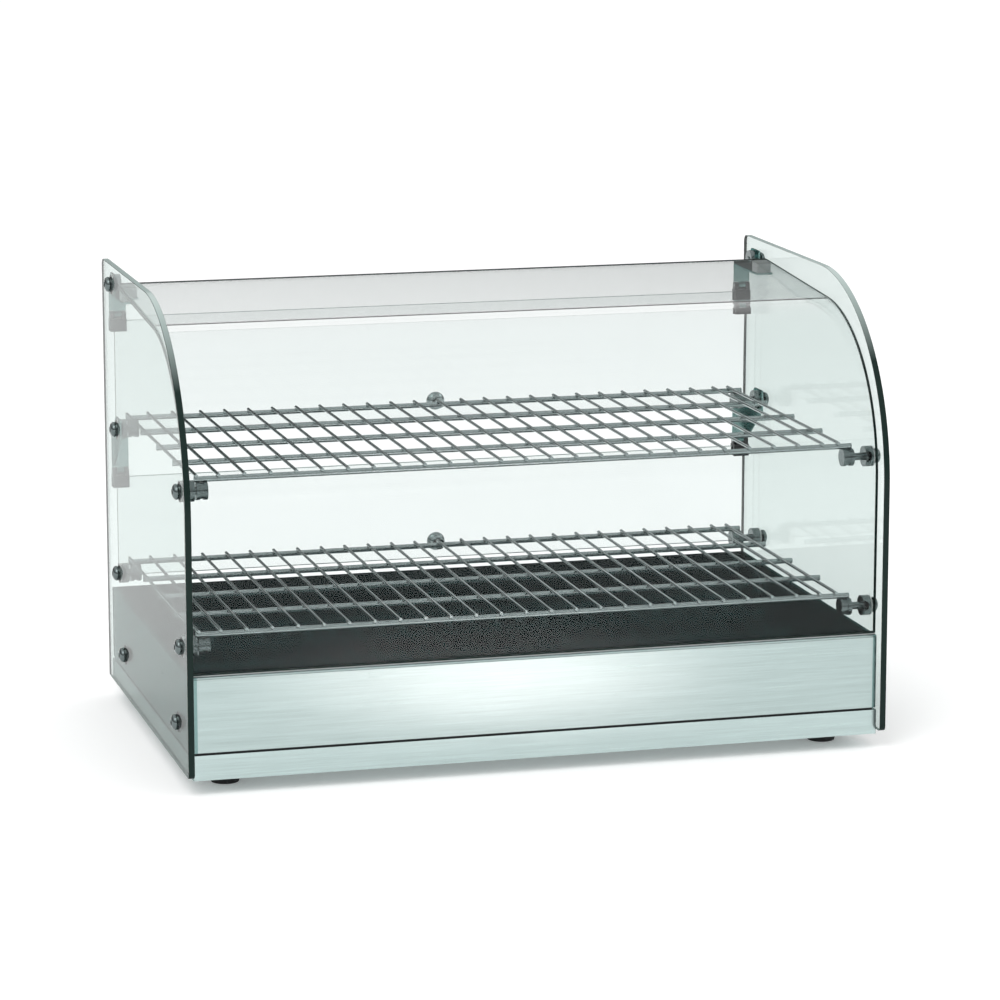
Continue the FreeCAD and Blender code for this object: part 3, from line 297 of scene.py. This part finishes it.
def glass_edge():
    material, shader, shade = finish_named("ground_glass_edge", IOR=1.22)
    grinding = noise(shade, 900, 3)
    facing = shade.node("ShaderNodeNewGeometry", output="Normal")
    upward = shade.node("ShaderNodeSeparateXYZ", {}, {"Vector": facing}, 2)
    # Upward-facing edges are painted light grey-green: a painted reflection of the bright room above.
    painted_sky_reflection = shade.node("ShaderNodeMapRange", {}, {"Value": upward, "From Min": 0.62, "From Max": 0.97})
    ground = mixed(shade, grinding, (0.004, 0.011, 0.009, 1), (0.012, 0.028, 0.024, 1))
    mixed(shade, painted_sky_reflection, ground, (0.40, 0.48, 0.46, 1)).into(shader, "Base Color")
    (grinding * 0.2 + 0.08).into(shader, "Roughness")
    return material


side_faces = clear_glass("clear_side_glass_faces", 1.12, (0.59, 0.685, 0.66))
sheet_faces = clear_glass("clear_bent_glass_faces", 1.22, (0.86, 0.89, 0.885))
glass_edges = glass_edge()


def polished_pane(node_name, body, faces, arris, on_edge, bent=False):
    """A copy of a glass node with eased edges, and with the faces that a test picks as ground edges."""
    bpy.ops.object.select_all(action="DESELECT")
    pane = nodes[node_name].copy()
    pane.data = nodes[node_name].data.copy()
    pane.name = f"{node_name}_polished"
    pane.parent = None
    bpy.context.collection.objects.link(pane)
    pane.select_set(True)
    bpy.context.view_layer.objects.active = pane
    bpy.ops.mesh.customdata_custom_splitnormals_clear()
    bpy.ops.object.mode_set(mode="EDIT")
    bpy.ops.mesh.select_all(action="SELECT")
    bpy.ops.mesh.remove_doubles(threshold=0.00001)
    bpy.ops.mesh.dissolve_limited(angle_limit=math.radians(1))
    bpy.ops.object.mode_set(mode="OBJECT")
    pane.data.materials.clear()
    pane.data.materials.append(faces)
    pane.data.materials.append(glass_edges)
    for face in pane.data.polygons:
        face.material_index = int(on_edge(face))
    easing = pane.modifiers.new("eased_edges", "BEVEL")
    easing.width = arris
    easing.segments = 2
    easing.limit_method = "ANGLE"
    easing.angle_limit = math.radians(50)
    easing.material = 1
    bpy.ops.object.modifier_apply(modifier="eased_edges")
    bpy.ops.object.shade_smooth_by_angle(angle=math.radians(20))
    for face in pane.data.polygons:
        if face.material_index == 0 and (face.area > 0.05 or not bent):
            face.use_smooth = False
    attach(pane, body)
    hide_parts(node_name)


for name in ("side_glass_left", "side_glass_right"):
    polished_pane(name, "case", side_faces, 0.0005, lambda face: abs(face.normal.x) < 0.5)
for name, body in (("upper_flap_glass", "upper_flap"), ("lower_flap_glass", "lower_flap")):
    polished_pane(name, body, sheet_faces, 0.0005, lambda face: abs(face.normal.y) < 0.5)

foot_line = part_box("front_glass")[0][2]
rear_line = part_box("front_glass")[1][1]
polished_pane("front_glass", "case", sheet_faces, 0.0012, lambda face: (
    abs(face.normal.x) > 0.5 or face.center.z < foot_line + 0.0001
    or (face.center.y > rear_line - 0.001 and face.normal.y > 0.9)), bent=True)


# ------------------------------------------------------------------ chromed wire shelves
# Each shelf is welded from mild steel wire and chromed. Every crossing has a small flattened bead
# of weld where the thin cross wire was pressed into the long rod.
def chrome(name, tone, dull, stretch, marks):
    material, shader, shade = finish_named(name, Metallic=1.0)
    haze = noise(shade, 60, 4, (1, 1, 1), 0.6)
    turning = noise(shade, marks, 2, stretch)
    mixed(shade, haze, tuple(part * 0.75 for part in tone) + (1,), tone + (1,)).into(shader, "Base Color")
    (haze * 0.12 + turning * 0.06 + (dull - 0.09)).into(shader, "Roughness")
    bumped(shade, 0.08, 0.0002, turning, shader)
    return material


wire_chrome = chrome("chromed_wire", (0.38, 0.43, 0.43), 0.10, (1, 1, 1), 700)
rod_thickness = 0.0045
wire_pitch, wire_count = 0.0205, 25
rod_count = 5
bead_radius, bead_sink = 0.0019, 0.0002
for shelf in ("lower_shelf", "upper_shelf"):
    nodes[shelf].data.materials[0] = wire_chrome
    low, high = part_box(shelf)
    front_rod, rear_rod = low[1] + 0.003, high[1] - 0.003
    rod_pitch = (rear_rod - front_rod) / (rod_count - 1)
    for row, start, pitch, count in (("inner", low[0] + 0.019, wire_pitch, wire_count),
                                     ("outer", low[0] + 0.0015, high[0] - low[0] - 0.013, 2)):
        crossing = (start, front_rod, low[2] + rod_thickness - bead_sink)
        bpy.ops.object.select_all(action="DESELECT")
        bpy.ops.mesh.primitive_ico_sphere_add(subdivisions=1, radius=bead_radius, location=crossing)
        bead = bpy.context.object
        bead.name = f"{shelf}_{row}_welds"
        bpy.ops.object.transform_apply(location=True, rotation=True, scale=True)
        bpy.ops.object.mode_set(mode="EDIT")
        bpy.ops.mesh.select_all(action="SELECT")
        bpy.ops.transform.resize(value=(1.0, 1.15, 0.55), center_override=crossing)
        bpy.ops.object.mode_set(mode="OBJECT")
        for times, offset in ((count, (pitch, 0, 0)), (rod_count, (0, rod_pitch, 0))):
            repeat = bead.modifiers.new("repeat", "ARRAY")
            repeat.count = times
            repeat.use_relative_offset = False
            repeat.use_constant_offset = True
            repeat.constant_offset_displace = offset
            bpy.ops.object.modifier_apply(modifier="repeat")
        bpy.ops.object.shade_smooth()
        bead.data.materials.append(wire_chrome)
        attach(bead, shelf)


# ------------------------------------------------------------------ screws through the glass
# Turned, round-headed screws with a hexagon socket, chromed, hold the glass to the base and carry
# the shelves' cups and the hinge brackets. Their heads stand proud of the glass on a plain shank.
def turned_piece(name, sides, rings, way):
    """A turned piece along a direction, drawn out ring by ring from (distance along it, radius) pairs."""
    bpy.ops.object.select_all(action="DESELECT")
    bpy.ops.mesh.primitive_circle_add(
        vertices=sides, radius=rings[0][1], fill_type="NGON", location=way * rings[0][0],
        rotation=way.to_track_quat("Z", "Y").to_euler())
    piece = bpy.context.object
    piece.name = name
    bpy.ops.object.transform_apply(location=True, rotation=True, scale=True)
    bpy.ops.object.mode_set(mode="EDIT")
    bpy.ops.mesh.select_all(action="SELECT")
    for (last, wide), (here, next_wide) in zip(rings, rings[1:]):
        bpy.ops.mesh.extrude_region_move(TRANSFORM_OT_translate={"value": way * (here - last)})
        size = next_wide / wide
        bpy.ops.transform.resize(value=(size, size, size), center_override=way * here)
    bpy.ops.mesh.select_all(action="SELECT")
    bpy.ops.mesh.normals_make_consistent(inside=False)
    bpy.ops.object.mode_set(mode="OBJECT")
    bpy.ops.object.shade_smooth_by_angle(angle=math.radians(35))
    return piece


def stand_in_place(master, name, place, body, node_name, turn=None):
    """A copy of a master with its own mesh, moved in its mesh, that replaces a CAD node."""
    copy = master.copy()
    copy.data = master.data.copy()
    copy.name = name
    copy.data.transform(Matrix.Translation(place) @ (turn or Matrix()))
    bpy.context.collection.objects.link(copy)
    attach(copy, body)
    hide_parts(node_name)
    return copy


turned_chrome = chrome("chromed_fittings", (0.34, 0.39, 0.39), 0.10, (1, 0.05, 0.05), 3000)
# The screw heads, nuts and cups take a darker copy of the chrome: a painted dark reflection.
chrome_painted_shade = chrome("chromed_heads_painted_shade", (0.17, 0.205, 0.205), 0.12, (1, 0.05, 0.05), 3000)
head_radius, head_rise, shank_radius = 0.007, 0.004, 0.003
half_turn = Matrix.Rotation(math.pi, 4, "Z")
both, pair = (-1, 1), (0, 1)
for kind, reach, sides, rows, lines in (
        ("base_screws", 0.017, both, pair, (0,)), ("shelf_screws_left", 0.021, (-1,), pair, pair),
        ("shelf_screws_right", 0.029, (1,), pair, pair), ("hinge_screws", 0.0135, both, (0,), (0,))):
    master = turned_piece(f"{kind}_master", 40, [
        (-reach, shank_radius - 0.0006), (-reach + 0.0006, shank_radius), (-0.00001, shank_radius),
        (0.0, 0.0059), (0.0003, 0.0062), (0.0013, 0.0062), (0.0019, 0.0060),
        (0.0026, 0.0055), (0.0032, 0.0047), (0.0037, 0.0038), (head_rise, 0.0031), (head_rise, 0.0026),
        (head_rise - 0.0003, 0.00235), (0.0016, 0.0023), (0.0012, 0.0009)], Vector((1, 0, 0)))
    master.data.materials.append(chrome_painted_shade)
    low, high = (Vector(corner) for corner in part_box(kind))
    levels = (low.z + head_radius, high.z - head_radius)
    backs = (low.y + head_radius, high.y - head_radius)
    face = (high.x if 1 in sides else -low.x) - head_rise
    spots = [(side, backs[row], levels[line]) for side in sides for row in rows for line in lines]
    for index, (side, back, level) in enumerate(spots):
        stand_in_place(master, f"{kind}_{index + 1}", (side * face, back, level), "case", kind,
                       half_turn if side < 0 else None)
    bpy.data.objects.remove(master)

for name in ("round_nuts", "support_cups"):
    nodes[name].data.materials[0] = chrome_painted_shade
for name in ("upper_flap_pins", "lower_flap_pins", "upper_flap_grip_screw", "lower_flap_grip_screw"):
    nodes[name].data.materials[0] = turned_chrome


# ------------------------------------------------------------------ grips on the flaps
# A waisted, domed grip turned from bar and chromed stands on the outer face of each flap, held by
# a screw from the inside.
for flap in ("upper", "lower"):
    low, high = (Vector(corner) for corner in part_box(f"{flap}_flap_grip"))
    master = turned_piece(f"{flap}_grip_master", 56, [
        (0.0, 0.0044), (0.0004, 0.0048), (0.0012, 0.0047), (0.0024, 0.0044), (0.0036, 0.0044),
        (0.0048, 0.0049), (0.0060, 0.0060), (0.0070, 0.0072), (0.0078, 0.0078), (0.0088, 0.0080),
        (0.0098, 0.0076), (0.0105, 0.0068), (0.0109, 0.0055), (0.0110, 0.0030)], Vector((0, 1, 0)))
    master.data.materials.append(turned_chrome)
    stand_in_place(master, f"{flap}_grip_turned", ((low.x + high.x) / 2, low.y, (low.z + high.z) / 2),
                   f"{flap}_flap", f"{flap}_flap_grip")
    bpy.data.objects.remove(master)


# ------------------------------------------------------------------ zinc-plated hardware
# Pressed and turned steel under a thin bright zinc plate with a faint spangle: the feet's and the
# panel's screws and nuts, the element's straps, the bulb's clips and the thermostat's can.
zinc, zinc_shader, shade = finish_named("zinc_plate", Metallic=1.0)
place = shade.node("ShaderNodeTexCoord", output="Object")
spangle = shade.node("ShaderNodeTexVoronoi", {"feature": "F1"}, {"Vector": place, "Scale": 420.0})
passivate = noise(shade, 35, 4, (1, 1, 1), 0.6)
plated = mixed(shade, spangle, (0.52, 0.54, 0.56, 1), (0.72, 0.73, 0.72, 1))
mixed(shade, passivate * 0.5, plated, (0.62, 0.58, 0.46, 1)).into(zinc_shader, "Base Color")
(spangle * 0.25 + passivate * 0.2 + 0.22).into(zinc_shader, "Roughness")
bumped(shade, 0.12, 0.0002, spangle, zinc_shader)
for name in ("foot_screws", "foot_nuts", "base_screw_nuts", "thermostat_nut", "element_straps", "bulb_clips",
             "thermostat", "panel_screws"):
    nodes[name].data.materials[0] = zinc


# ------------------------------------------------------------------ heater
# A steel-sheathed tube, blued and straw-tinted by its own heat, hangs under the deck above a trough
# of mill-finish aluminium with a slab of felted mineral wool in it. A copper bulb feels the heat.
sheath, sheath_shader, shade = finish_named("heat_tinted_sheath", Metallic=1.0)
heat = noise(shade, 26, 4, (0.5, 1, 1), 0.6)
shade.node("ShaderNodeValToRGB", {"stops": [
    (0.30, (0.34, 0.33, 0.32, 1)), (0.45, (0.40, 0.31, 0.20, 1)), (0.57, (0.24, 0.17, 0.20, 1)),
    (0.70, (0.15, 0.18, 0.26, 1))]}, {"Fac": heat}).into(sheath_shader, "Base Color")
(heat * 0.3 + 0.25).into(sheath_shader, "Roughness")
scale_bump = noise(shade, 1400, 3)
bumped(shade, 0.3, 0.0002, scale_bump, sheath_shader)
nodes["heating_element"].data.materials[0] = sheath

mill_aluminium = brushed_stainless("mill_aluminium", (0.03, 1, 1), (0.74, 0.75, 0.76), 0.34)
nodes["reflector_trough"].data.materials[0] = mill_aluminium

wool, wool_shader, shade = finish_named("mineral_wool", Specular_IOR_Level=0.1)
fibres = noise(shade, 420, 8, (0.35, 1, 2.4), 0.75)
tufts = noise(shade, 45, 5, (1, 1, 2), 0.6)
felted = mixed(shade, fibres * 0.6 + tufts * 0.4, (0.40, 0.34, 0.17, 1), (0.86, 0.80, 0.58, 1))
felted.into(wool_shader, "Base Color")
(fibres * 0.2 + 0.75).into(wool_shader, "Roughness")
bumped(shade, 0.9, 0.0012, fibres + tufts, wool_shader)
nodes["insulation_slab"].data.materials[0] = wool

nodes["thermostat_bulb"].data.materials[0] = chrome(
    "drawn_copper", (0.80, 0.46, 0.31), 0.26, (0.04, 1, 1), 1600)
nodes["thermostat_shaft"].data.materials[0] = chrome(
    "turned_steel", (0.62, 0.62, 0.63), 0.22, (0.05, 1, 0.05), 2600)

porcelain, porcelain_shader, shade = finish_named("heat_proof_block", Coat_Roughness=0.1)
specks = noise(shade, 700, 4, (1, 1, 1), 0.7)
mixed(shade, specks, (0.62, 0.60, 0.54, 1), (0.86, 0.85, 0.80, 1)).into(porcelain_shader, "Base Color")
(specks * 0.25 + 0.2).into(porcelain_shader, "Roughness")
nodes["terminal_block"].data.materials[0] = porcelain


# ------------------------------------------------------------------ moulded black plastic
# Nylon with a fine sparked grain from its mould and faint rub marks: the switch's bezel, the cord
# gland and its nut, the safety cut-out and the hinge shoes that grip the flaps.
black_plastic, plastic_shader, shade = finish_named("black_plastic_sparked", Specular_IOR_Level=0.45)
sparked = noise(shade, 1900, 5, (1, 1, 1), 0.7)
rubbed = noise(shade, 70, 4, (1, 1, 1), 0.65)
mixed(shade, rubbed, (0.010, 0.011, 0.012, 1), (0.034, 0.036, 0.038, 1)).into(plastic_shader, "Base Color")
(sparked * 0.18 + rubbed * 0.22 + 0.24).into(plastic_shader, "Roughness")
bumped(shade, 0.35, 0.0003, sparked, plastic_shader)
for name in ("switch_housing", "cord_gland", "gland_nut", "safety_cutout",
             "upper_flap_shoes", "lower_flap_shoes"):
    nodes[name].data.materials[0] = black_plastic


# ------------------------------------------------------------------ thermostat knob and its dial
# A fluted black knob with a skirt and a white pointer, pushed on the thermostat's shaft. Eleven
# white strokes printed on the panel behind it mark the settings.
low, high = (Vector(corner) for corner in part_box("thermostat_knob"))
knob_middle = Vector(((low.x + high.x) / 2, low.y, (low.z + high.z) / 2))
knob_place = Matrix.Translation(knob_middle)
knob = turned_piece("thermostat_knob_fluted", 72, [
    (0.0, 0.0193), (0.0004, 0.0198), (0.0010, 0.0200), (0.0022, 0.0199), (0.0027, 0.0194),
    (0.0033, 0.0182), (0.0040, 0.0178), (0.0116, 0.0172), (0.0124, 0.0166), (0.0129, 0.0156),
    (0.0130, 0.0140), (0.0127, 0.0134), (0.0126, 0.0060)], Vector((0, 1, 0)))
bpy.ops.object.mode_set(mode="EDIT")
bpy.ops.mesh.select_mode(type="FACE")
bpy.ops.mesh.select_all(action="DESELECT")
bpy.ops.object.mode_set(mode="OBJECT")
for face in knob.data.polygons:
    round_knob = math.degrees(math.atan2(face.center.x, face.center.z)) % 20
    face.select = 0.0041 < face.center.y < 0.0115 and round_knob > 10
bpy.ops.object.mode_set(mode="EDIT")
bpy.ops.mesh.extrude_region_shrink_fatten(TRANSFORM_OT_shrink_fatten={"value": -0.0009})
bpy.ops.object.mode_set(mode="OBJECT")
flutes = knob.modifiers.new("flutes", "BEVEL")
flutes.width = 0.00025
flutes.segments = 2
flutes.angle_limit = math.radians(40)
bpy.ops.object.modifier_apply(modifier="flutes")
bpy.ops.object.shade_smooth_by_angle(angle=math.radians(35))
knob.data.transform(knob_place)
knob.data.materials.append(black_plastic)
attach(knob, "thermostat_knob")
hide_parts("thermostat_knob")

white_print, print_shader, shade = finish_named("white_print", Specular_IOR_Level=0.3)
wear = noise(shade, 500, 5, (1, 1, 1), 0.7)
mixed(shade, wear, (0.62, 0.62, 0.60, 1), (0.88, 0.88, 0.86, 1)).into(print_shader, "Base Color")
(wear * 0.2 + 0.4).into(print_shader, "Roughness")


def stroke(name, middle, size, ease):
    """A small bar with eased edges."""
    bpy.ops.object.select_all(action="DESELECT")
    bpy.ops.mesh.primitive_cube_add(size=1, location=middle, scale=size)
    bar = bpy.context.object
    bar.name = name
    bpy.ops.object.transform_apply(location=True, rotation=True, scale=True)
    rounding = bar.modifiers.new("rounding", "BEVEL")
    rounding.width = ease
    rounding.segments = 3
    bpy.ops.object.modifier_apply(modifier="rounding")
    bar.data.materials.append(white_print)
    return bar


pointer = stroke("knob_pointer", (0, 0.01292, 0.0100), (0.0013, 0.0010, 0.0095), 0.0004)
pointer.data.transform(knob_place)
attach(pointer, "thermostat_knob")

panel_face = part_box("rear_panel")[1][1]
mark = stroke("dial_mark_master", (0, panel_face + 0.00008, 0.0235), (0.0009, 0.0003, 0.0040), 0.0001)
dial_place = Matrix.Translation((knob_middle.x, 0, knob_middle.z))
for index in range(11):
    angle = math.radians(-27 * index)
    tick = mark.copy()
    tick.data = mark.data.copy()
    tick.name = f"dial_mark_{index + 1}"
    tick.data.transform(dial_place @ Matrix.Rotation(-angle, 4, "Y"))
    bpy.context.collection.objects.link(tick)
    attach(tick, "case")
bpy.data.objects.remove(mark)


# ------------------------------------------------------------------ rocker switch and pilot lamp
# The rocker is moulded in red and carries a white bar and ring, printed on. The lamp's amber lens
# is moulded with a ring of fine facets, and looks darker where its wall is thick.
rocker_low, rocker_high = (Vector(corner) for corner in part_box("switch_rocker"))
rocker_middle = (rocker_low + rocker_high) / 2
red, red_shader, shade = finish_named("red_rocker_printed", Coat_Weight=0.3, Coat_Roughness=0.15)
place = shade.node("ShaderNodeTexCoord", output="Object")
across = shade.node("ShaderNodeSeparateXYZ", {}, {"Vector": place}, 0) - rocker_middle.x
up = shade.node("ShaderNodeSeparateXYZ", {}, {"Vector": place}, 2) - rocker_middle.z
from_ring = shade.maths("SQRT", across * across + (up + 0.006) * (up + 0.006), 0.0)
in_bar = (shade.maths("ABSOLUTE", across, 0.0) < 0.0004) * (shade.maths("ABSOLUTE", up - 0.006, 0.0) < 0.0022)
in_ring = shade.maths("ABSOLUTE", from_ring - 0.0018, 0.0) < 0.0003
cloud = noise(shade, 120, 4, (1, 1, 1), 0.6)
moulded = mixed(shade, cloud, (0.42, 0.012, 0.010, 1), (0.64, 0.030, 0.022, 1))
mixed(shade, in_bar + in_ring, moulded, (0.85, 0.85, 0.83, 1)).into(red_shader, "Base Color")
(cloud * 0.15 + 0.22).into(red_shader, "Roughness")
nodes["switch_rocker"].data.materials[0] = red

lamp_low, lamp_high = (Vector(corner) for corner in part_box("pilot_lamp"))
amber, amber_shader, shade = finish_named(
    "amber_lens_faceted", Coat_Weight=0.6, Coat_Roughness=0.05, IOR=1.49, Transmission_Weight=0.35)
place = shade.node("ShaderNodeTexCoord", output="Object")
across = shade.node("ShaderNodeSeparateXYZ", {}, {"Vector": place}, 0) - (lamp_low.x + lamp_high.x) / 2
up = shade.node("ShaderNodeSeparateXYZ", {}, {"Vector": place}, 2) - (lamp_low.z + lamp_high.z) / 2
facets = shade.maths("SINE", shade.maths("ARCTAN2", across, up) * 24.0, 0.0) * 0.5 + 0.5
depth = noise(shade, 160, 4, (1, 1, 1), 0.6)
lens = mixed(shade, facets * 0.35 + depth * 0.65, (0.55, 0.16, 0.010, 1), (0.95, 0.42, 0.04, 1))
lens.into(amber_shader, "Base Color")
(depth * 0.15 + 0.08).into(amber_shader, "Roughness")
bumped(shade, 0.4, 0.0003, facets, amber_shader)
nodes["pilot_lamp"].data.materials[0] = amber
